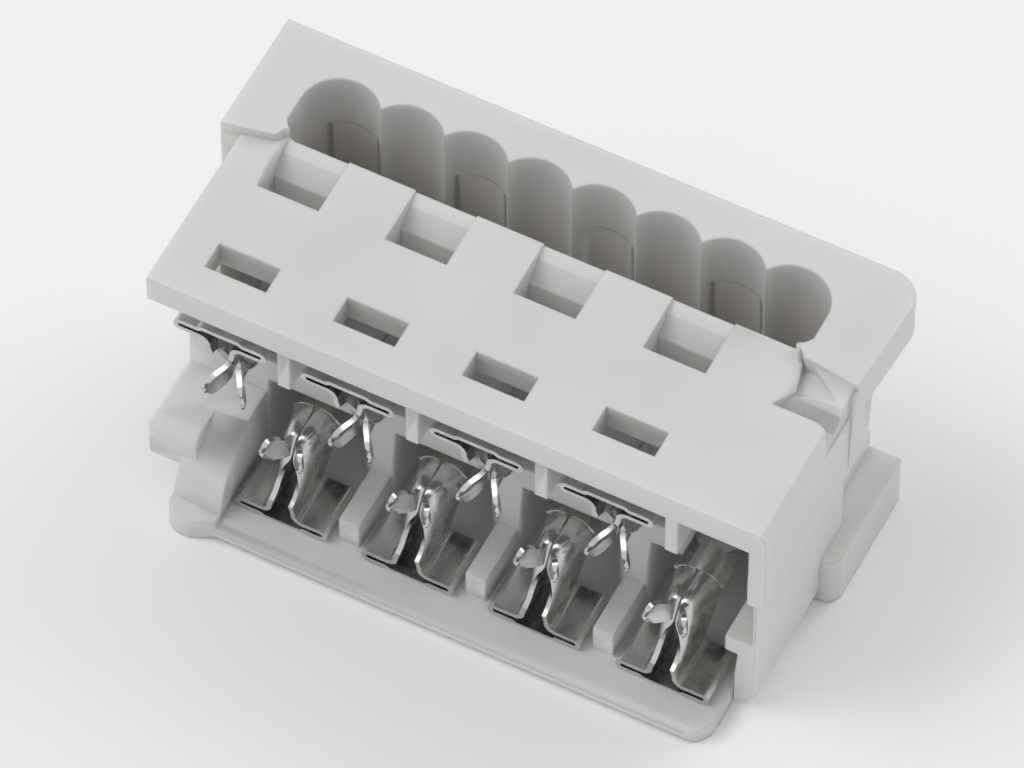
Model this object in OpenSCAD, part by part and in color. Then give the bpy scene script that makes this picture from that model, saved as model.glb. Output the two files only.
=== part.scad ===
// Eight-way ribbon-cable connector housing, 1.27 mm cable pitch, with its
// eight stamped contacts standing in two staggered rows.
// X runs along the rows, Y from the mating mouth back to the cable passage,
// Z up out of the windowed top wall. Z = 0 is the underside.

/* [Rows] */
// Pitch of the cable cores and of the scallops
core_pitch = 1.27; // [1.2:0.01:1.4]
// Contacts in each of the two rows
row_count = 4; // [2:1:10]

/* [Body] */
// Height of the windowed top wall over the underside
body_h = 6.0; // [5.6:0.1:7]
// Thickness of the top wall
top_t = 0.6; // [0.45:0.05:0.7]
// Depth of the top wall, from its front edge to the cable passage
top_d = 3.8; // [3.6:0.05:4.4]
// Top wall beyond the first contact, left side
left_margin = 1.40; // [1.3:0.05:1.8]
// Top wall beyond the last contact, right side
right_margin = 1.85; // [1.6:0.05:2.3]
// Reach of the lower lip in front of the top wall
lip_reach = 0.85; // [0.6:0.05:1.2]
// Thickness of the floor under the lower contacts
floor_t = 0.36; // [0.3:0.02:0.5]

/* [Cable end] */
// Depth of the cable end behind the top wall
bar_d = 2.2; // [2:0.05:2.8]
// Rise of the cable end over the top wall
bar_rise = 0.2; // [0.1:0.05:0.4]
// Radius of one scallop
scallop_r = 0.75; // [0.68:0.01:0.85]
// Thickness of the thin ears at both ends
ear_t = 0.9; // [0.7:0.05:1.2]

/* [Windows] */
// Width of a latch window
window_w = 1.22; // [0.9:0.02:1.5]
// Length of a front latch window
window_l = 0.56; // [0.4:0.02:0.8]
// Depth of the sloped rear pocket at its slot
pocket_depth = 0.47; // [0.3:0.01:0.5]

/* [Contacts] */
// Width over the two folded edges
contact_w = 1.85; // [1.6:0.05:2]
// Sheet thickness
sheet_t = 0.10; // [0.08:0.01:0.12]
// Gap between base strip and folded leaf
fold_gap = 0.08; // [0.05:0.01:0.1]
// Length of the folded leaves
leaf_l = 1.1; // [0.9:0.05:1.3]
// Height of the pinch point over the base strip
pinch_h = 1.45; // [1.3:0.05:1.5]
// Clear gap between the blades at the pinch
pinch_gap = 0.06; // [0.04:0.01:0.12]
// Width of the cable slot between the tines
tine_slot = 0.24; // [0.2:0.02:0.3]

/* [Fits] */
// Clearance round a contact in its channel
contact_clear = 0.04; // [0.03:0.01:0.08]

/* [Hidden] */
$fn = 32;
e = 0.02;
row_pitch = 2 * core_pitch;
cores = 2 * row_count;
field = (cores - 1) * core_pitch;
function core_x(k) = -field / 2 + k * core_pitch;
function upper_x(i) = core_x(2 * i);
function lower_x(i) = core_x(2 * i + 1);

x_l = -field / 2 - left_margin;
x_r = field / 2 + right_margin;
z_top = body_h;
z_plate = body_h - top_t;
z_bar = body_h + bar_rise;
y_bar = top_d + bar_d;
core_l = -field / 2 - 0.70;
core_r = field / 2 + 1.15;
bar_half = field / 2 + scallop_r + 0.22;

// key notch behind the top wall's right end
notch_x = field / 2 + 0.70;
notch_y = 2.62;
notch_h = 0.28;
corner_r = 0.35;
edge_break = 0.12;
// walls round the mouth
z_cheek = z_top - 2.25;
z_step = z_top - 3.97;
room_d = 3.1;
septum_z = 2.4;
septum_t = 0.6;
septum_y = 1.25;
lip_r = 0.18;
// cable end
ear_out = 0.36;
y_cusp = y_bar - 0.65 - scallop_r;
wing_h = 1.24;
y_wing = y_bar - 0.42;

// contact seats: front edge of the base strip in Y, outer face in Z
up_y = 0.05;
up_z = z_plate - 0.34;
lo_y = -0.20;
lo_z = floor_t + 0.02;
half_w = contact_w / 2;
leaf_top = 2 * sheet_t + fold_gap;
root_h = pinch_h + 0.42;
tine_end = top_d - 0.1;

// ---------------------------------------------------------------- helpers
module block(x0, x1, y0, y1, z0, z1) {
    translate([x0, y0, z0]) cube([x1 - x0, y1 - y0, z1 - z0]);
}
// outline in (y, z), run along X
module run_x(x0, x1) {
    translate([x0, 0, 0]) rotate([90, 0, 90]) linear_extrude(x1 - x0) children();
}
// outline in (x, z), run along Y
module run_y(y0, y1) {
    translate([0, y1, 0]) rotate([90, 0, 0]) linear_extrude(y1 - y0) children();
}
// rectangle with one radius on all four corners
module round_rect(x0, x1, y0, y1, r) {
    translate([x0 + r, y0]) square([x1 - x0 - 2 * r, y1 - y0]);
    translate([x0, y0 + r]) square([x1 - x0, y1 - y0 - 2 * r]);
    for (x = [x0 + r, x1 - r], y = [y0 + r, y1 - r])
        translate([x, y]) circle(r);
}
// solid skin through equal rings of points, closed at both ends
module loft(rings) {
    n = len(rings[0]);
    m = len(rings);
    pts = [for (r = rings) for (p = r) p];
    sides = [for (i = [0:m - 2]) for (j = [0:n - 1])
        let (a = i * n + j, b = i * n + (j + 1) % n) each [[a, b, a + n], [b, b + n, a + n]]];
    caps = [for (j = [1:n - 2]) each [[0, j + 1, j],
        [(m - 1) * n, (m - 1) * n + j, (m - 1) * n + j + 1]]];
    polyhedron(points = pts, faces = concat(sides, caps), convexity = 4);
}

// ---------------------------------------------------------------- housing
// top wall: plan with the rounded rear right corner, right edge eased
module top_wall() {
    intersection() {
        translate([0, 0, z_plate])
            linear_extrude(top_t) {
                translate([x_l, 0]) square([x_r - x_l, notch_y - corner_r]);
                translate([x_l, 0.2]) square([notch_x - 0.3 - x_l, top_d - 0.2 + 0.07]);
                polygon([[notch_x - 1, 1], [notch_x - 0.05, 1], [notch_x - 0.05, notch_y],
                         [notch_x + 0.2, notch_y + 0.42], [notch_x + 0.06, top_d - 0.2],
                         [notch_x - 0.12, top_d + 0.07], [notch_x - 1, top_d + 0.07]]);
                translate([notch_x - 1, 1]) square([x_r - corner_r - notch_x + 1, notch_y - 1]);
                translate([x_r - corner_r, notch_y - corner_r]) circle(corner_r);
            }
        run_y(-1, top_d + 1)
            polygon([[x_l - 1, z_plate - 1], [x_r + 1, z_plate - 1], [x_r + 0.06, z_plate + 0.1],
                     [x_r, z_top - 0.2], [x_r - edge_break, z_top], [x_r - 1, z_top + 1], [x_l - 1, z_top + 1]]);
    }
    // sheet under the notch and the cheek that hangs from the right edge
    block(x_l + 0.3, x_r - 0.06, 1, top_d + e, z_plate, z_top - notch_h);
    block(x_r - 0.34, x_r, 0.02, top_d + e, z_cheek, z_plate + 0.1);
    block(x_r - 0.5, x_r - 0.05, 0.35, top_d + e, z_cheek - 0.2, z_cheek + 0.3);
}
// key notch behind the top wall: a rising groove, then the slope up to the cable end
module notch_ramp() {
    difference() {
        intersection() {
            run_x(notch_x - 0.2, x_r - 0.02)
                polygon([[notch_y - 0.4, z_plate + 0.05], [notch_y - 0.4, z_top - notch_h],
                         [notch_y + 0.06, z_top - notch_h], [notch_y + 0.34, z_top - 0.10],
                         [notch_y + 0.44, z_top + 0.02], [notch_y + 0.9, z_bar - 0.06],
                         [top_d, z_bar - 0.01], [top_d + 0.3, z_bar - 0.01],
                         [top_d + 0.3, z_plate + 0.05]]);
            linear_extrude(z_bar + 1)
                polygon([[notch_x - 0.10, notch_y - 0.5], [notch_x - 0.10, notch_y],
                         [notch_x + 0.15, notch_y + 0.42], [notch_x + 0.01, top_d - 0.2],
                         [notch_x - 0.17, top_d + 0.02], [notch_x - 0.17, top_d + 0.3],
                         [x_r - 0.02, top_d + 0.3], [x_r - 0.02, notch_y - 0.5]]);
        }
        // dip beside the rear pocket
        translate([notch_x + 0.05, notch_y + 0.36, z_top - 0.22])
            rotate([0, -16, 0]) linear_extrude(1)
                polygon([[0, 0], [0.95, 0.16], [0.6, 0.42], [0, 0.85]]);
    }
}
// solid between the mouth and the cable passage, with the wall between the rows
module middle() {
    block(core_l, core_r, room_d, top_d, 0, z_plate + e);
    block(core_l - e, core_r - 0.17, septum_y, room_d + e, 0, septum_z + septum_t);
    block(x_l + 0.1, core_l + e, septum_y, top_d, 1.2, septum_z + septum_t);
    block(x_l + 0.1, core_l + e, 1.9, top_d, septum_z, z_plate + e);
    block(core_l, upper_x(0) + half_w + 0.2, room_d - 0.5, room_d + e, septum_z, z_plate + e);
}
// floor, lip and the lower corners of the mouth
module lower_body() {
    // floor with its rounded lip
    intersection() {
        run_x(core_l - 0.2, core_r + 0.2) {
            translate([lip_r - lip_reach, lip_r]) circle(lip_r);
            translate([lip_r - lip_reach, 0]) square([top_d + lip_reach - lip_r, floor_t]);
            translate([-lip_reach, 0.14]) square([1, floor_t - 0.14 - 0.1]);
        }
        linear_extrude(1) {
            translate([core_l + 0.1, -lip_reach]) square([core_r - core_l - 0.6, 1]);
            translate([core_l, -lip_reach + 0.5]) square([core_r - core_l, top_d + 0.5]);
            translate([core_r - 0.5, -lip_reach + 0.5]) circle(0.5);
            polygon([[core_l, 0], [core_l, -0.6], [core_l + 0.36, -lip_reach],
                     [core_l + 1, -lip_reach], [core_l + 1, 0]]);
        }
    }
    // toe at the left end of the lip
    linear_extrude(floor_t + 0.12) {
        translate([core_l + 0.36, -lip_reach + 0.25]) circle(0.4);
        polygon([[core_l, -0.1], [core_l, -lip_reach + 0.3], [core_l + 0.4, -lip_reach - 0.15],
                 [core_l + 0.5, -lip_reach - 0.15], [core_l + 0.95, -lip_reach + 0.04],
                 [core_l + 0.95, -0.1]]);
    }
    // left corner, filled up to the rail and swept down to the lip
    run_x(core_l, lower_x(0) - half_w - 0.10) {
        polygon([[-0.585, 0.02], [2.4, 0.02], [2.4, 2.0], [0.9, 2.0], [0.55, 1.96], [0.15, 1.8],
                 [-0.15, 1.5], [-0.38, 1.1], [-0.52, 0.75], [-0.585, 0.5]]);
        translate([room_d - 1.4, 1.9]) square([1.45, septum_z - 1.85]);
    }
    // right wall: inner step, groove for the last contact, chamfered foot
    run_y(0.3, top_d)
        polygon([[core_r + 0.03, 0.1], [core_r + 0.41, 0.38], [core_r + 0.41, z_cheek + e],
                 [core_r - 0.17, z_cheek + e], [core_r - 0.17, 1.6], [core_r + 0.08, 1.6],
                 [core_r + 0.03, 0.9]]);
    block(core_r - 0.1, core_r + 0.1, 0.5, top_d, 0.1, 1);
    // rim beside the last contact
    intersection() {
        run_x(core_r - 0.12, core_r)
            polygon([[0.05, 0.02], [1.5, 0.02], [1.5, 0.8], [0.3, 0.8], [0.05, 0.55]]);
        linear_extrude(1) {
            translate([core_r - 0.5, -lip_reach + 0.5]) circle(0.5);
            translate([core_r - 0.5, -lip_reach + 0.5]) square([0.5, 3]);
        }
    }
}
// rails and wings that key the housing in its shroud
module keys() {
    // left rail, rounded at its front
    intersection() {
        run_x(x_l, core_l + 0.3) {
            translate([-0.25 + 0.32, 1.94 - 0.32]) circle(0.32);
            translate([-0.25, 1.0]) square([1, 0.62]);
            translate([0.07, 1.0]) square([3.75, 0.94]);
        }
        run_y(-1, top_d + e)
            polygon([[x_l, 0.9], [x_l + 2, 0.9], [x_l + 2, 2.1], [x_l + 0.18, 2.1], [x_l + 0.14, 1.94],
                     [x_l + 0.06, 1.88], [x_l + 0.01, 1.78], [x_l, 1.66]]);
        linear_extrude(3) {
            translate([x_l + 0.12, -0.14]) circle(0.12);
            translate([x_l + 0.12, -0.26]) square([1.4, 1]);
            translate([x_l, -0.14]) square([1.4, top_d + 0.14]);
        }
    }
    // wings at the cable end
    for (s = [-1, 1])
        translate([s > 0 ? core_r + 0.73 : x_l, 0, 0]) mirror([s > 0 ? 1 : 0, 0, 0])
            linear_extrude(wing_h) {
                translate([0.3, 3.24]) circle(0.3);
                translate([0, 3.24]) square([1.2, y_wing - 3.24]);
                translate([0.3, 2.94]) square([0.9, 1]);
            }
}
// the cable end: scalloped bar, end ears and the foot between the wings
module cable_end() {
    block(-bar_half, bar_half, top_d - e, y_bar - 0.34, 0, z_bar - 0.3);
    block(core_l - 0.2, core_r + 0.1, top_d - 0.4, y_wing, 0, 1.7);
    // cap with the wide ears, tapered towards the right front
    translate([0, 0, z_bar - ear_t])
        linear_extrude(ear_t) {
            polygon([[x_l - ear_out, top_d - 0.35], [x_l + 0.64, top_d - 0.13], [x_l + 0.72, top_d + 0.06],
                     [notch_x - 0.15, top_d + 0.06], [notch_x + 0.10, top_d - 0.16], [x_r + 0.04, top_d - 0.3],
                     [x_r + 0.16, y_bar - 0.6], [x_r + 0.16, y_bar - 0.58], [x_r - 0.44, y_bar + 0.02],
                     [x_l - ear_out, y_bar + 0.02]]);
            translate([x_r - 0.44, y_bar - 0.58]) circle(0.6);
        }
    // ear fronts, running forward beside the top wall
    block(x_l - ear_out, x_l + 0.1, top_d - 0.35, top_d + 0.2, z_bar - 1.2, z_top - 0.04);
    run_y(top_d - 0.5, top_d + 0.3)
        polygon([[x_r - 0.4, z_cheek], [x_r, z_cheek], [x_r + 0.05, z_bar - ear_t], [x_r + 0.04, z_bar - 0.15],
                 [x_r - 0.4, z_bar - 0.15]]);
}
// passage for the cable, scalloped on its rear side
module passage() {
    translate([0, 0, -1])
        linear_extrude(body_h + 4) {
            for (k = [0:cores - 1])
                translate([core_x(k), y_cusp]) circle(scallop_r);
            translate([-field / 2 - scallop_r, top_d + 0.25])
                square([field + 2 * scallop_r, y_cusp - top_d - 0.25]);
            round_rect(-field / 2 - scallop_r, field / 2 + scallop_r, top_d + 0.05, top_d + 0.8, 0.3);
        }
    // room for the tine tips behind the cable
    for (i = [0:row_count - 1]) {
        translate([upper_x(i), y_cusp + 0.06, z_bar - 3.4])
            cylinder(r = scallop_r - 0.04, h = 2.1);
        translate([lower_x(i), y_cusp + 0.06, 1.2])
            cylinder(r = scallop_r - 0.04, h = 2.1);
    }
}
// latch windows, sloped pockets and their slots in the top wall
module windows() {
    for (i = [0:row_count - 1])
        translate([upper_x(i) - window_w / 2, 0, 0]) {
            block(0, window_w, 0.69, 0.69 + window_l, z_plate - 0.5, z_top + 1);
            run_x(0, window_w)
                polygon([[2.66, z_top + 1], [2.66, z_top - 1.2], [3.27, z_top - 1.2],
                         [3.27, z_top - pocket_depth], [3.6, z_top - 0.14],
                         [top_d - 0.02, z_top - 0.06], [top_d + 0.1, z_top - 0.06],
                         [top_d + 0.1, z_top + 1]]);
        }
}
// room for the contacts: mouth, channels through the root block
module contact_room() {
    c = contact_clear;
    for (i = [0:row_count - 1]) {
        // upper row
        block(upper_x(i) - half_w - 0.05, upper_x(i) + half_w + 0.05, -1, room_d,
              septum_z + septum_t, z_plate - 0.28);
        block(upper_x(i) - 0.62, upper_x(i) + 0.62, room_d - e, top_d + e,
              up_z - root_h - c, up_z - root_h + sheet_t + c);
        // lower row
        block(lower_x(i) - half_w - c, lower_x(i) + half_w + c, -0.45, room_d,
              floor_t, septum_z);
        block(lower_x(i) - 0.62, lower_x(i) + 0.62, room_d - e, top_d + e,
              lo_z + root_h - sheet_t - c, lo_z + root_h + c);
    }
    // the last lower channel is open to the top wall, with a groove for its contact's edge
    block(upper_x(row_count - 1) + half_w, core_r - 0.17, -1, room_d, floor_t, z_plate - e);
    block(core_r - 0.17, x_r - 0.34, -1, 1.9, z_step + 0.47, z_plate - e);
    block(core_r - 0.17, x_r - 0.34, -1, 1.15, z_step, z_plate - e);
    block(lower_x(row_count - 1), core_r + 0.03, -0.3, 1.4, floor_t, 1.6);
}
// ribs that part neighbouring contacts
module ribs() {
    for (i = [0:row_count - 1]) {
        block(lower_x(i) - 0.12, lower_x(i) + 0.12, 0.05, room_d + e, z_plate - 1.07, z_plate + e);
        if (i < row_count - 1)
            block(upper_x(i + 1) - 0.20, upper_x(i + 1) + 0.20, 0.0, room_d + e, 0.1, floor_t + 0.62);
    }
}
module housing() {
    color([0.86, 0.85, 0.82])
    difference() {
        union() {
            difference() {
                union() {
                    middle();
                    lower_body();
                    keys();
                    cable_end();
                    notch_ramp();
                }
                contact_room();
            }
            top_wall();
            ribs();
        }
        passage();
        windows();
    }
}

// --------------------------------------------------------------- contacts
// front section: base strip, folded edges, leaves and curled lips
module contact_section() {
    t = sheet_t;
    fr = leaf_top / 2;
    cr = 0.23;
    cx = 0.19 + cr;
    step = 0.4;
    translate([-half_w + fr, 0]) square([half_w - fr - step, t]);
    translate([step, 0]) square([half_w - fr - step, t]);
    translate([-step - e, -t / 2]) square([2 * step + 2 * e, t]);
    for (s = [-1, 1]) {
        translate([s * (half_w - fr), fr])
            difference() {
                circle(fr);
                circle(fold_gap / 2);
                translate([s > 0 ? -2 * fr : 0, -fr]) square([2 * fr, 2 * fr]);
            }
        translate([s > 0 ? cx : -half_w + fr - e, t + fold_gap])
            square([half_w - fr - cx + e, t]);
        translate([s * cx, t + fold_gap + cr])
            difference() {
                circle(cr);
                circle(cr - t);
                translate([-cr, 0]) square([2 * cr, cr]);
                translate([s > 0 ? 0 : -cr, -cr]) square([cr, 2 * cr]);
            }
    }
}
// one blade: rises from the leaf, leans in to the pinch and rolls over into
// the root strip; one ring of six points per station
module blade(s) {
    t = sheet_t * 0.9;
    w = t / 2;
    g = pinch_gap / 2;
    foot = leaf_top + 0.12;
    // y, foot x, foot h, shoulder x, shoulder h, edge x, edge h
    st = [
        [0.01, 0.25, foot, 0.26, 0.54, 0.19, 0.66],
        [0.18, 0.25, foot, 0.26, 0.60, 0.19, 0.76],
        [0.30, 0.25, foot, 0.26, 0.76, 0.19, 0.94],
        [0.40, 0.25, foot, 0.25, 1.00, 0.12, pinch_h - 0.25],
        [0.50, 0.26, foot, 0.23, pinch_h - 0.12, g, pinch_h],
        [0.60, 0.27, foot, 0.24, pinch_h + 0.10, g, pinch_h + 0.20],
        [0.72, 0.28, foot, 0.27, root_h - 0.20, g, root_h - 0.06],
        [0.90, 0.30, foot + 0.04, 0.30, root_h - 0.13, g, root_h - 0.03],
        [1.04, 0.33, foot + 0.24, 0.31, root_h - 0.11, g + 0.01, root_h - 0.02],
        [1.18, 0.38, foot + 0.62, 0.31, root_h - 0.09, g + 0.01, root_h - 0.015],
        [1.32, 0.43, root_h - 0.46, 0.30, root_h - 0.07, g + 0.01, root_h - 0.015],
        [1.46, 0.44, root_h - 0.30, 0.28, root_h - 0.06, 0.10, root_h - 0.015]];
    loft([for (p = st)
        s > 0
        ? [[p[1] - w, p[0], p[2]], [p[1] + w, p[0], p[2]], [p[3], p[0], p[4]],
           [p[5], p[0], p[6]], [p[5], p[0], p[6] - t], [p[3] - t, p[0], p[4] - t]]
        : [[-p[1] + w, p[0], p[2]], [-p[3] + t, p[0], p[4] - t], [-p[5], p[0], p[6] - t],
           [-p[5], p[0], p[6]], [-p[3], p[0], p[4]], [-p[1] - w, p[0], p[2]]]]);
}
// spoon-shaped tongue on top of a blade, flared outwards at the mouth
module tongue(s) {
    w = sheet_t * 0.45;
    // y, lower x, lower h, upper x, upper h
    st = [
        [0.08, 0.34, root_h - 0.10, 0.35, root_h + 0.14],
        [0.13, 0.31, root_h - 0.20, 0.36, root_h + 0.26],
        [0.22, 0.25, root_h - 0.26, 0.31, root_h + 0.30],
        [0.34, 0.17, root_h - 0.32, 0.22, root_h + 0.24],
        [0.46, 0.10, root_h - 0.38, 0.13, root_h + 0.14],
        [0.58, 0.09, root_h - 0.34, 0.11, root_h + 0.04],
        [0.72, 0.11, root_h - 0.22, 0.13, root_h - 0.05],
        [0.86, 0.12, root_h - 0.11, 0.15, root_h - 0.08]];
    loft([for (p = st)
        s > 0
        ? [[p[1] - w, p[0], p[2]], [p[1] + w, p[0], p[2]], [p[3] + w, p[0], p[4]], [p[3] - w, p[0], p[4]]]
        : [[-p[1] + w, p[0], p[2]], [-p[3] + w, p[0], p[4]], [-p[3] - w, p[0], p[4]], [-p[1] - w, p[0], p[2]]]]);
}
// whole contact, base strip in Z = 0, mouth at Y = 0; tail ends at Y = tail
module contact(tail) {
    t = sheet_t;
    run_y(0, leaf_l) contact_section();
    blade(1);
    blade(-1);
    tongue(1);
    tongue(-1);
    // sloped side flanges of the root strip
    for (s = [-1, 1])
        run_y(1.3, 2.7)
            polygon([[s * 0.20, root_h - 0.01], [s * 0.20, root_h - t + 0.01], [s * 0.44, root_h - 0.30],
                     [s * 0.50, root_h - 0.22], [s * 0.26, root_h - 0.01]]);
    // root strip and the two tines that pierce the cable
    translate([0, 0, root_h - t])
        linear_extrude(t) {
            translate([-0.25, 1.4]) square([0.5, 0.7]);
            difference() {
                polygon([[-0.25, 1.9], [0.25, 1.9], [0.55, 2.3], [0.55, tail - 0.35],
                         [0.34, tail], [0, tail - 0.5], [-0.34, tail],
                         [-0.55, tail - 0.35], [-0.55, 2.3]]);
                translate([-tine_slot / 2, 2.6]) square([tine_slot, tail]);
                translate([0, 2.6]) circle(tine_slot / 2);
            }
        }
}
module contact_upper(i) {
    color([0.80, 0.80, 0.79])
    translate([upper_x(i), up_y, up_z]) mirror([0, 0, 1]) contact(tine_end - up_y);
}
module contact_lower(i) {
    color([0.80, 0.80, 0.79])
    translate([lower_x(i), lo_y, lo_z]) contact(tine_end - lo_y);
}
module contact_upper_1() { contact_upper(0); }
module contact_upper_2() { contact_upper(1); }
module contact_upper_3() { contact_upper(2); }
module contact_upper_4() { contact_upper(3); }
module contact_lower_1() { contact_lower(0); }
module contact_lower_2() { contact_lower(1); }
module contact_lower_3() { contact_lower(2); }
module contact_lower_4() { contact_lower(3); }

housing();
contact_upper_1();
contact_upper_2();
contact_upper_3();
contact_upper_4();
contact_lower_1();
contact_lower_2();
contact_lower_3();
contact_lower_4();
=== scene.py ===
# %% [markdown]
# # A small ribbon-cable connector, dressed for a portrait
# The connector is a natural, slightly milky plastic moulding with eight bright
# stamped contacts in it. The CAD frame already holds every form at its true
# size, in metres, so this lesson only adds what the frame can't carry: rounded
# sheet metal, finishes, light and a camera.

# %% Load the frame and note its size
import bpy
import math
import numpy as np
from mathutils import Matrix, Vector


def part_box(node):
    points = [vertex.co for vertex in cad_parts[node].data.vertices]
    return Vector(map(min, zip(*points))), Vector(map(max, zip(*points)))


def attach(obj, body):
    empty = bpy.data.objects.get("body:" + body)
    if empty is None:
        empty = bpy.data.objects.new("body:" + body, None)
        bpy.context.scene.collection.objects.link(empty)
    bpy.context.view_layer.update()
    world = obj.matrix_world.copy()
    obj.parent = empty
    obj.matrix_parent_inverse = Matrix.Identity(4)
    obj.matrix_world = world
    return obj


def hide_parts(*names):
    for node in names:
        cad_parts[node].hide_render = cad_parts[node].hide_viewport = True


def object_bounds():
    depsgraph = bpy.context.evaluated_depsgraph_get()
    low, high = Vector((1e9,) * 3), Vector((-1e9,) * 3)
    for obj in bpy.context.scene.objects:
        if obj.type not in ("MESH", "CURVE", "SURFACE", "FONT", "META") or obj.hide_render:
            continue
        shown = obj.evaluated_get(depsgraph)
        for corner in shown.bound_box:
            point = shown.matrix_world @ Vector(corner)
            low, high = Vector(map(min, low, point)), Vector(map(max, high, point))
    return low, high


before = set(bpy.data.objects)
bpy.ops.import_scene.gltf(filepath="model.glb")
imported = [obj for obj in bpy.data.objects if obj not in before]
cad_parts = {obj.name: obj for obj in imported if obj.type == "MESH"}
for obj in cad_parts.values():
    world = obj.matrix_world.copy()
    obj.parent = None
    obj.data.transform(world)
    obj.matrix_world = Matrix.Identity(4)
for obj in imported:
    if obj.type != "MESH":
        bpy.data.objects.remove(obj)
cad_box = [[float(v) for v in corner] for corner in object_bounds()]
MM = 0.001
print("frame box, mm:", [[round(v / MM, 2) for v in c] for c in cad_box])
print("nodes:", sorted(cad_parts))

# %% [markdown]
# ## Small helpers for the two finishes
# Both finishes are node materials. Each needs noise on Object coordinates, so
# that the pattern sits still on the piece from any side. A few short helpers
# keep the node code readable.

# %% Material helpers
def new_material(name):
    """An empty node material with one Principled shader; returns (material, tree, shader)."""
    mat = bpy.data.materials.new(name)
    mat.use_nodes = True
    tree = mat.node_tree
    tree.nodes.clear()
    out = tree.nodes.new("ShaderNodeOutputMaterial")
    shader = tree.nodes.new("ShaderNodeBsdfPrincipled")
    tree.links.new(shader.outputs["BSDF"], out.inputs["Surface"])
    return mat, tree, shader


def noise(tree, scale, detail=3.0, stretch=(1, 1, 1), rough=0.5):
    """Noise on Object coordinates: value = fractal noise of (stretch * position * scale)."""
    coord = tree.nodes.new("ShaderNodeTexCoord")
    mapping = tree.nodes.new("ShaderNodeMapping")
    mapping.inputs["Scale"].default_value = stretch
    tex = tree.nodes.new("ShaderNodeTexNoise")
    tex.inputs["Scale"].default_value = scale
    tex.inputs["Detail"].default_value = detail
    tex.inputs["Roughness"].default_value = rough
    tree.links.new(coord.outputs["Object"], mapping.inputs["Vector"])
    tree.links.new(mapping.outputs["Vector"], tex.inputs["Vector"])
    return tex.outputs["Fac"]


def ramp(tree, fac, stops):
    """Colour ramp through stops [(position, rgb)], read at fac."""
    node = tree.nodes.new("ShaderNodeValToRGB")
    els = node.color_ramp.elements
    while len(els) < len(stops):
        els.new(0.5)
    for el, (pos, rgb) in zip(els, stops):
        el.position = pos
        el.color = (*rgb, 1.0)
    tree.links.new(fac, node.inputs["Fac"])
    return node.outputs["Color"]


def span(tree, fac, low, high, at_low=0.3, at_high=0.7):
    """Maps fac from at_low..at_high to low..high, linearly and clamped."""
    node = tree.nodes.new("ShaderNodeMapRange")
    node.inputs["From Min"].default_value = at_low
    node.inputs["From Max"].default_value = at_high
    node.inputs["To Min"].default_value = low
    node.inputs["To Max"].default_value = high
    tree.links.new(fac, node.inputs["Value"])
    return node.outputs["Result"]


def bump(tree, height, distance, strength=1.0, under=None):
    """Bump of the given height field; under is a normal to add it to."""
    node = tree.nodes.new("ShaderNodeBump")
    node.inputs["Distance"].default_value = distance
    node.inputs["Strength"].default_value = strength
    tree.links.new(height, node.inputs["Height"])
    if under is not None:
        tree.links.new(under, node.inputs["Normal"])
    return node.outputs["Normal"]


print("helpers ready")

# %% [markdown]
# ## The moulding's plastic
# Natural engineering plastic is an off-white that lets a little light in: thin
# walls glow, and deep cavities turn warm because light bounces in them many
# times. Subsurface scattering gives the first, and a faintly warm base colour
# gives the second without painting any shade. A fine spark-eroded grain and
# broad, weak flow clouds keep large faces from looking printed.

# %% Natural plastic
plastic, tree, shader = new_material("natural_plastic")
clouds = noise(tree, 420.0, 2.0, rough=0.45)
flow = noise(tree, 1500.0, 4.0, stretch=(1.0, 0.45, 0.45))
tint = ramp(tree, clouds, [(0.30, (0.640, 0.636, 0.618)), (0.55, (0.668, 0.664, 0.648)),
                           (0.75, (0.690, 0.686, 0.672))])
tree.links.new(tint, shader.inputs["Base Color"])
tree.links.new(span(tree, flow, 0.40, 0.56), shader.inputs["Roughness"])
shader.inputs["IOR"].default_value = 1.50
shader.inputs["Subsurface Weight"].default_value = 0.35
shader.inputs["Subsurface Radius"].default_value = (1.0, 0.82, 0.62)
shader.inputs["Subsurface Scale"].default_value = 0.0006
edge = tree.nodes.new("ShaderNodeBevel")
edge.samples = 6
edge.inputs["Radius"].default_value = 0.00007
grain = noise(tree, 16000.0, 2.0)
waves = bump(tree, clouds, 0.00002, 0.35, edge.outputs["Normal"])
tree.links.new(bump(tree, grain, 0.0000012, 0.6, waves), shader.inputs["Normal"])
print("plastic:", len(tree.nodes), "nodes")

# %% [markdown]
# ## The contacts' tin
# The contacts are stamped from thin strip and tinned. Tin is bright but not a
# mirror: rolling leaves fine lines along the strip, and handling leaves small
# soft patches. Roughness carries the patches, a stretched noise the lines.

# %% Bright tin
tin, tree, shader = new_material("bright_tin")
lines = noise(tree, 5200.0, 3.0, stretch=(1.0, 0.06, 1.0))
patches = noise(tree, 2600.0, 3.0)
tree.links.new(ramp(tree, patches, [(0.30, (0.560, 0.556, 0.545)), (0.60, (0.660, 0.658, 0.650)),
                                    (0.80, (0.720, 0.718, 0.710))]), shader.inputs["Base Color"])
shader.inputs["Metallic"].default_value = 1.0
tree.links.new(span(tree, patches, 0.16, 0.34), shader.inputs["Roughness"])
shader.inputs["Anisotropic"].default_value = 0.3
tree.links.new(bump(tree, lines, 0.000004, 0.5), shader.inputs["Normal"])
print("tin:", len(tree.nodes), "nodes")

# %% [markdown]
# ## The moulding itself
# The CAD solid has the right form, but its round scallops come as flat facets.
# A copy with its doubles merged can be shaded smooth across small angles and
# stay crisp at real corners, so the copy stands for the node. Normals weighted by
# face area keep the large flat faces flat.

# %% A smooth-shaded copy of the moulding
def keep_creases(mesh, degrees):
    """Smooth shading wherever two faces meet at less than the given angle."""
    mesh.polygons.foreach_set("use_smooth", np.ones(len(mesh.polygons), dtype=bool))
    mesh.set_sharp_from_angle(angle=math.radians(degrees))


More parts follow.
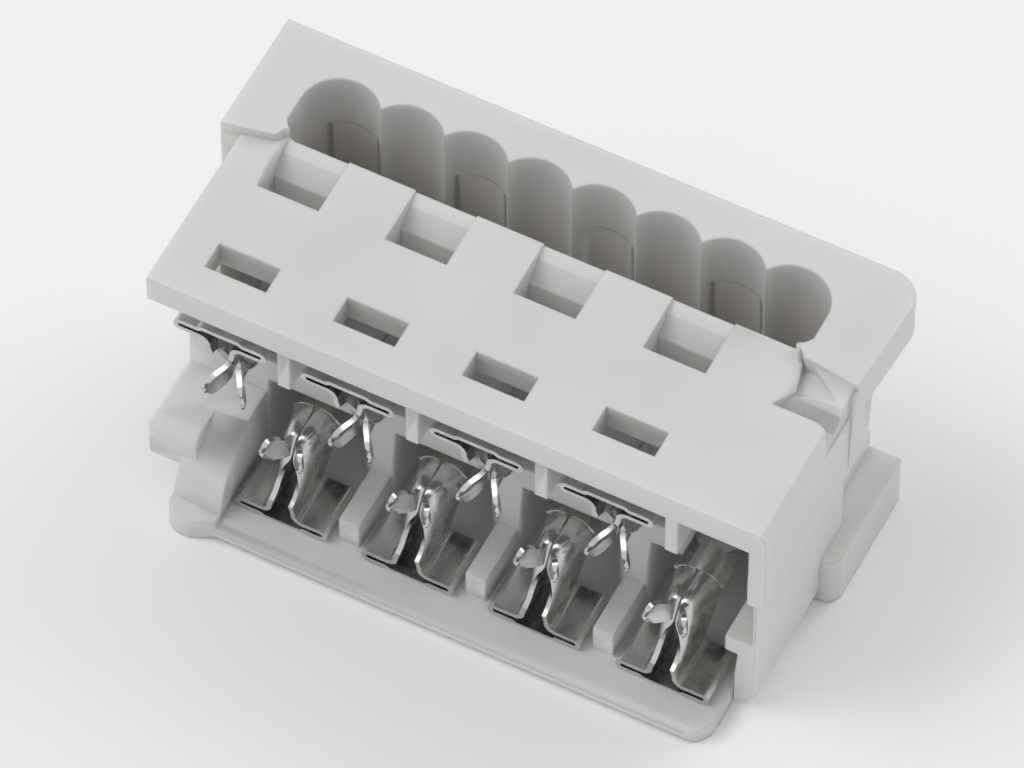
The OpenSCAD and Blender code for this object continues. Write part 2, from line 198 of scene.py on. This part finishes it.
def merged_copy(node, name, distance=2e-7):
    """Copy of a frame mesh with its vertices merged where they coincide."""
    import bmesh
    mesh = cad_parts[node].data.copy()
    mesh.name = name
    work = bmesh.new()
    work.from_mesh(mesh)
    bmesh.ops.remove_doubles(work, verts=work.verts, dist=distance)
    work.to_mesh(mesh)
    work.free()
    mesh.materials.clear()
    piece = bpy.data.objects.new(name, mesh)
    bpy.context.scene.collection.objects.link(piece)
    return piece


moulding = merged_copy("housing", "connector_moulding")
keep_creases(moulding.data, 19)
weighted = moulding.modifiers.new("flat_faces_stay_flat", "WEIGHTED_NORMAL")
weighted.keep_sharp = True
weighted.weight = 100
moulding.data.materials.append(plastic)
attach(moulding, "root")
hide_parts("housing")
print("moulding:", len(moulding.data.polygons), "faces")

# %% [markdown]
# ## Sheet metal as a surface
# Each contact is one strip of tinned sheet, 0.1 mm thick, cut and folded. A
# sheet is easiest to describe by its middle surface, a grid of points. The
# solid is that grid pushed half a thickness to each side along its normals,
# with a rim of faces round the border.

# %% Thick sheet from a grid of points
def sheet_shell(mid, thickness):
    """Closed shell round a middle surface mid[u, v] = (x, y, z).

    Normals are the cross product of the grid's two directions; the two skins
    are mid + n*t/2 and mid - n*t/2, and the border of the grid is closed by a
    row of quads. Returns (vertices, quads)."""
    du = np.gradient(mid, axis=0)
    dv = np.gradient(mid, axis=1)
    n = np.cross(du, dv)
    n /= np.maximum(np.linalg.norm(n, axis=2, keepdims=True), 1e-12)
    a, b = mid.shape[:2]
    skins = np.concatenate([(mid + n * thickness / 2).reshape(-1, 3),
                            (mid - n * thickness / 2).reshape(-1, 3)])
    idx = np.arange(a * b).reshape(a, b)
    q = np.stack([idx[:-1, :-1], idx[1:, :-1], idx[1:, 1:], idx[:-1, 1:]], -1).reshape(-1, 4)
    border = np.concatenate([idx[:, 0], idx[-1, 1:], idx[-2::-1, -1], idx[0, -2:0:-1]])
    nxt = np.roll(border, -1)
    rim = np.stack([nxt, border, border + a * b, nxt + a * b], -1)
    return skins, np.concatenate([q, q[:, ::-1] + a * b, rim])


def smooth_rows(rows, count):
    """Rows of numbers resampled at count places by a Catmull-Rom curve through them.

    The first column is the distance back from the mouth; each segment is the
    cubic with end slopes (next - previous) / 2."""
    p = np.vstack([2 * rows[0] - rows[1], rows, 2 * rows[-1] - rows[-2]])
    s = np.linspace(0, len(rows) - 1 - 1e-9, count)
    k = s.astype(int)
    f = (s - k)[:, None]
    a, b, c, d = p[k], p[k + 1], p[k + 2], p[k + 3]
    return b + f * (c - a) / 2 + f**2 * (a - 2.5 * b + 2 * c - d / 2) + f**3 * (1.5 * (b - c) + (d - a) / 2)


print("sheet tools ready")

# %% [markdown]
# ## The contact's measures
# All lengths are in millimetres, local to one contact: x across, y back from
# the mouth and h up from the base strip. They repeat the frame's own values.

# %% Measures of a contact
T = 0.10            # sheet
HALF_W = 0.925      # half the width over the folds
FOLD_GAP = 0.08     # between base strip and leaf
LEAF_L = 1.10       # leaf length
PINCH_H = 1.45      # height of the pinch
ROOT_H = PINCH_H + 0.42
GAP = 0.03          # half the gap at the pinch
LIP_R = 0.18        # middle radius of the curled lip
LIP_X = 0.42        # where the curl starts
FOOT = 2 * T + FOLD_GAP + 0.12
STRIP_HALF = 0.25   # half the width of the root strip
NECK_Y = 1.9        # where the strip starts to widen
TINE_HALF = 0.55    # half the width over both tines
SLOT_HALF = 0.12    # half the cable slot
SLOT_Y = 2.58       # root of the slot
TIP_L = 0.35        # length of a tine's point
print("root strip at", ROOT_H, "mm over the base")

# %% [markdown]
# ## Base, folds, leaves and lips
# Seen from the mouth, the strip runs flat, turns back over itself at both
# edges and ends in two lips that curl up towards each other. One open curve
# carries this whole section, and the sheet is that curve carried back.

# %% Folded front of a contact
def front_section():
    """Middle line of the folded front, right lip tip to left lip tip, as (x, h).

    Flat runs, a half circle of radius (2T + gap)/2 - T/2 at each fold and a
    quarter circle of radius LIP_R for each lip; the left half is the mirror
    image of the right. The base's middle lies half a sheet lower, eased with a
    smooth step."""
    fr = (2 * T + FOLD_GAP) / 2
    r = fr - T / 2
    top = 2 * T + FOLD_GAP - T / 2
    a = np.linspace(-math.pi, -math.pi / 2, 12)
    lip = np.stack([LIP_X + LIP_R * np.cos(a), top + LIP_R + LIP_R * np.sin(a)], -1)
    leaf = np.stack([np.linspace(LIP_X, HALF_W - fr, 8)[1:], np.full(7, top)], -1)
    a = np.linspace(math.pi / 2, -math.pi / 2, 14)[1:]
    fold = np.stack([HALF_W - fr + r * np.cos(a), fr + r * np.sin(a)], -1)
    x = np.linspace(HALF_W - fr, 0, 22)[1:]
    drop = np.clip((0.44 - x) / 0.08, 0, 1)
    base = np.stack([x, T / 2 - (T / 2) * (3 * drop**2 - 2 * drop**3)], -1)
    right = np.concatenate([lip, leaf, fold, base])
    return np.concatenate([right, right[-2::-1] * [-1, 1]])


def carried_back(section, y):
    """Grid of a section (x, h) repeated at each distance y."""
    g = np.empty((len(section), len(y), 3))
    g[..., 0] = section[:, None, 0]
    g[..., 1] = y[None, :]
    g[..., 2] = section[:, None, 1]
    return g


front_grid = carried_back(front_section(), np.linspace(0.0, LEAF_L, 8))
print("front section:", front_grid.shape[0], "points")

# %% [markdown]
# ## Blades and tongues
# Each blade stands on a lip, leans in to the pinch and rolls over into the
# root strip. On top of it sits a spoon-shaped tongue, flared outwards to catch
# the post of the other half. Both are described by a few stations along y, and
# a smooth curve runs through the stations.

# %% Blade and tongue surfaces
BLADE = np.array([
    # y, foot x, foot h, shoulder x, shoulder h, edge x, edge h
    [0.00, 0.245, FOOT, 0.225, 0.51, 0.19, 0.62],
    [0.18, 0.245, FOOT, 0.225, 0.58, 0.19, 0.72],
    [0.30, 0.245, FOOT, 0.225, 0.74, 0.18, 0.90],
    [0.40, 0.250, FOOT, 0.215, 0.97, 0.12, PINCH_H - 0.28],
    [0.50, 0.255, FOOT, 0.195, PINCH_H - 0.16, GAP, PINCH_H - 0.04],
    [0.60, 0.265, FOOT, 0.205, PINCH_H + 0.06, GAP, PINCH_H + 0.16],
    [0.72, 0.275, FOOT, 0.235, ROOT_H - 0.24, GAP, ROOT_H - 0.10],
    [0.90, 0.290, FOOT + 0.02, 0.265, ROOT_H - 0.17, GAP, ROOT_H - 0.07],
    [1.04, 0.320, FOOT + 0.24, 0.275, ROOT_H - 0.15, GAP, ROOT_H - 0.06],
    [1.18, 0.370, FOOT + 0.62, 0.275, ROOT_H - 0.13, GAP, ROOT_H - 0.055],
    [1.32, 0.420, ROOT_H - 0.46, 0.265, ROOT_H - 0.11, GAP, ROOT_H - 0.055],
    [1.46, 0.430, ROOT_H - 0.32, 0.245, ROOT_H - 0.09, 0.08, ROOT_H - 0.055]])
TONGUE = np.array([
    # y, lower x, lower h, upper x, upper h
    [0.06, 0.350, ROOT_H - 0.02, 0.360, ROOT_H + 0.10],
    [0.09, 0.330, ROOT_H - 0.13, 0.355, ROOT_H + 0.20],
    [0.16, 0.285, ROOT_H - 0.22, 0.330, ROOT_H + 0.28],
    [0.26, 0.225, ROOT_H - 0.28, 0.275, ROOT_H + 0.29],
    [0.38, 0.145, ROOT_H - 0.34, 0.185, ROOT_H + 0.20],
    [0.50, 0.090, ROOT_H - 0.38, 0.120, ROOT_H + 0.08],
    [0.62, 0.090, ROOT_H - 0.32, 0.115, ROOT_H - 0.02],
    [0.78, 0.110, ROOT_H - 0.18, 0.130, ROOT_H - 0.08]])


def blade_grid(side):
    """Middle surface of one blade: at each y, foot, shoulder and edge are joined
    by the curve P(w) = (1-w)^2 F + 2w(1-w) C + w^2 E, where the control point C
    is placed so that the curve passes through the shoulder at w = 0.6."""
    st = smooth_rows(BLADE, 46)
    w = np.linspace(0, 1, 13)[:, None, None]
    y = st[:, 0]
    f, s, e = st[:, 1:3], st[:, 3:5], st[:, 5:7]
    c = (s - 0.16 * f - 0.36 * e) / 0.48
    xz = (1 - w)**2 * f + 2 * w * (1 - w) * c + w**2 * e
    g = np.empty((13, len(y), 3))
    g[..., 0] = side * xz[..., 0]
    g[..., 1] = y
    g[..., 2] = xz[..., 1]
    return g


def tongue_grid(side):
    """Middle surface of one tongue: a straight line from its lower to its upper
    edge, dished outwards by 0.05 sin(pi w) mm towards the mouth."""
    st = smooth_rows(TONGUE, 30)
    w = np.linspace(0, 1, 11)[:, None]
    fade = np.clip((0.6 - st[:, 0]) / 0.5, 0, 1)
    g = np.empty((11, len(st), 3))
    g[..., 0] = side * (st[:, 1] * (1 - w) + st[:, 3] * w + 0.05 * np.sin(math.pi * w) * fade)
    g[..., 1] = st[:, 0]
    g[..., 2] = st[:, 2] * (1 - w) + st[:, 4] * w
    return g


print("blade grid:", blade_grid(1).shape, "tongue grid:", tongue_grid(1).shape)

# %% [markdown]
# ## Root strip and tines
# Behind the blades the two halves join in a flat strip with a sloped flange on
# each side. It passes through the moulding's wall and splits into two pointed
# tines that pierce the ribbon cable.

# %% Root strip and tine surfaces
def root_grid():
    """Flat strip, 2 STRIP_HALF wide, whose sides slope down at about 45 degrees."""
    x = np.array([-0.47, -0.40, -0.32, -0.26, -0.18, 0.0, 0.18, 0.26, 0.32, 0.40, 0.47])
    drop = np.maximum(np.abs(x) - 0.235, 0) * 0.9
    return carried_back(np.stack([x, ROOT_H - T / 2 - drop], -1), np.linspace(1.40, 2.70, 12))


def neck_grid():
    """Strip that widens from the root strip to the tines, linearly over 0.4 mm."""
    y = np.linspace(NECK_Y, SLOT_Y + 0.04, 14)
    half = STRIP_HALF + (TINE_HALF - STRIP_HALF) * np.clip((y - NECK_Y) / 0.4, 0, 1)
    w = np.linspace(-1, 1, 9)[:, None]
    g = np.empty((9, len(y), 3))
    g[..., 0] = w * half
    g[..., 1] = y
    g[..., 2] = ROOT_H - T / 2 - 0.003
    return g


def tine_grid(side, tail):
    """Pointed tine: straight inner and outer edges that run together over the
    last TIP_L, to a point at y = tail."""
    v = np.linspace(0, 1, 22)
    near = np.clip((v - 0.75) / 0.25, 0, 0.985)
    x_in = SLOT_HALF + 0.22 * near
    x_out = TINE_HALF - 0.21 * near
    shank = tail - TIP_L - SLOT_Y
    y = np.where(v < 0.75, SLOT_Y + shank * v / 0.75, tail - TIP_L + TIP_L * near)
    w = np.linspace(0, 1, 5)[:, None]
    g = np.empty((5, len(v), 3))
    g[..., 0] = side * (x_in * (1 - w) + x_out * w)
    g[..., 1] = y
    g[..., 2] = ROOT_H - T / 2
    return g


print("root grid:", root_grid().shape)

# %% [markdown]
# ## Eight contacts
# The contacts are one stamping. In the lower row the base strip lies on the
# floor; in the upper row it hangs, turned upside down, under the top wall. The
# frame says where each sits, so each piece reads its own node's box.

# %% Build and place the contacts
def contact_mesh(node, upper):
    """All sheets of one contact in one mesh, placed in its node's box.

    Local (x, y, h) goes to (xc + x, y0 + y, z0 + h), or z0 - h when turned
    over; a sheet whose winding the turn reverses has its quads reversed."""
    low, high = (np.array(c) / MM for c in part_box(node))
    xc = (low[0] + high[0]) / 2
    tail = high[1] - low[1]
    z0 = high[2] - T / 2 if upper else low[2] + T / 2
    verts, faces, start = [], [], 0
    grids = [front_grid, root_grid(), neck_grid()]
    for side in (1, -1):
        grids += [blade_grid(side), tongue_grid(side), tine_grid(side, tail)]
    for g in grids:
        v, q = sheet_shell(g, T * 0.95)
        v = v * [1, 1, -1 if upper else 1] + [xc, low[1], z0]
        # six times the volume, by the divergence sum, tells which way the quads face
        a, b, c, d = (v[q[:, k]] for k in range(4))
        volume = (a * (np.cross(b, c) + np.cross(c, d))).sum()
        verts.append(v)
        faces.append((q if volume > 0 else q[:, ::-1]) + start)
        start += len(v)
    return np.concatenate(verts), np.concatenate(faces)


contact_pieces = []
for row in ("upper", "lower"):
    for k in range(1, 5):
        node = f"contact_{row}_{k}"
        v, q = contact_mesh(node, row == "upper")
        mesh = bpy.data.meshes.new(f"tinned_{node}")
        mesh.from_pydata((v * MM).tolist(), [], q.tolist())
        mesh.validate()
        keep_creases(mesh, 35)
        piece = bpy.data.objects.new(f"tinned_{node}", mesh)
        bpy.context.scene.collection.objects.link(piece)
        mesh.materials.append(tin)
        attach(piece, "root")
        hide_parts(node)
        contact_pieces.append(piece)
print("contacts:", len(contact_pieces), "of", len(contact_pieces[0].data.polygons), "faces")

# %% [markdown]
# ## Floor and light
# The connector lies on a plain pale floor. A pale world lights it evenly from
# all round, and two large soft lamps, one high on the left and one behind,
# give the faces their small differences. The floor is one matt square that
# catches the shadow.

# %% Floor
def plain_floor(half, z):
    """One square of the given half width at height z."""
    mesh = bpy.data.meshes.new("pale_floor")
    mesh.from_pydata([(-half, -half, z), (half, -half, z), (half, half, z), (-half, half, z)],
                     [], [(0, 1, 2, 3)])
    obj = bpy.data.objects.new("pale_floor", mesh)
    bpy.context.scene.collection.objects.link(obj)
    return obj


floor = plain_floor(1.5, cad_box[0][2] - 0.00002)
floor_mat, tree, shader = new_material("pale_floor")
shader.inputs["Base Color"].default_value = (0.93, 0.93, 0.93, 1)
shader.inputs["Roughness"].default_value = 0.9
floor.data.materials.append(floor_mat)

# %% [markdown]
# The world has two strengths. What lights the part is a soft, slightly cool
# white. What the camera sees directly, or in a reflection, is a plain brighter
# grey-white, so that the tin has something bright and even to mirror.

# %% World
SKY_STRENGTH = 0.62
SKY_COLOUR = (0.95, 0.97, 1.0, 1)
SEEN_COLOUR = (0.8, 0.8, 0.8, 1)


def background(tree, strength, colour=(1, 1, 1, 1)):
    """One world background of a plain colour and strength."""
    node = tree.nodes.new("ShaderNodeBackground")
    node.inputs["Color"].default_value = colour
    node.inputs["Strength"].default_value = strength
    return node.outputs["Background"]


def either(tree, a, b):
    """The larger of two sockets: 1 when either is 1."""
    node = tree.nodes.new("ShaderNodeMath")
    node.operation = "MAXIMUM"
    tree.links.new(a, node.inputs[0])
    tree.links.new(b, node.inputs[1])
    return node.outputs["Value"]


world = bpy.data.worlds.new("studio")
bpy.context.scene.world = world
world.use_nodes = True
tree = world.node_tree
tree.nodes.clear()
out = tree.nodes.new("ShaderNodeOutputWorld")
mix = tree.nodes.new("ShaderNodeMixShader")
path = tree.nodes.new("ShaderNodeLightPath")
seen = either(tree, path.outputs["Is Camera Ray"], path.outputs["Is Glossy Ray"])
seen = either(tree, seen, path.outputs["Is Transmission Ray"])
tree.links.new(seen, mix.inputs["Fac"])
tree.links.new(background(tree, SKY_STRENGTH, SKY_COLOUR), mix.inputs[1])
tree.links.new(background(tree, 1.0, SEEN_COLOUR), mix.inputs[2])
tree.links.new(mix.outputs["Shader"], out.inputs["Surface"])
print("world:", len(tree.nodes), "nodes")

# %% [markdown]
# Large lamps near the part make soft shadows. Both are aimed at its middle, by
# turning each lamp's own Z axis away from it.

# %% Lamps

def soft_lamp(name, place, size, watts):
    """Square area lamp at place (metres), aimed at the middle of the part."""
    lamp = bpy.data.lights.new(name, "AREA")
    lamp.size = size
    lamp.energy = watts
    obj = bpy.data.objects.new(name, lamp)
    obj.location = place
    middle = np.mean(np.array(cad_box), axis=0)
    back = np.array(place) - middle
    back /= np.linalg.norm(back)
    obj.rotation_euler = (math.acos(back[2]), 0, math.atan2(back[0], -back[1]))
    bpy.context.scene.collection.objects.link(obj)
    return obj


soft_lamp("key_left", (-0.22, -0.10, 0.34), 0.26, 0.55)
soft_lamp("rim_back", (0.16, 0.30, 0.30), 0.22, 0.35)
print("lamps ready")

# %% [markdown]
# ## Camera
# A long lens from the front right, high up, keeps the rows of contacts nearly
# parallel and shows both the windowed top wall and the open mouth.

# %% Camera
AZ, EL = math.radians(27.17), math.radians(55.29)
cam = bpy.data.cameras.new("portrait")
cam.lens = 364.1
cam.sensor_width = 36.0
cam.shift_x = 0.00488
cam.shift_y = -0.00098
cam.clip_start = 0.01
cam_obj = bpy.data.objects.new("portrait", cam)
cam_obj.location = (0.047685, -0.09044, 0.15422)
cam_obj.rotation_euler = (math.pi / 2 - EL, 0, AZ)
bpy.context.scene.collection.objects.link(cam_obj)
bpy.context.scene.camera = cam_obj
bpy.context.scene.view_settings.view_transform = "Standard"
print("camera at", [round(v, 4) for v in cam_obj.location])
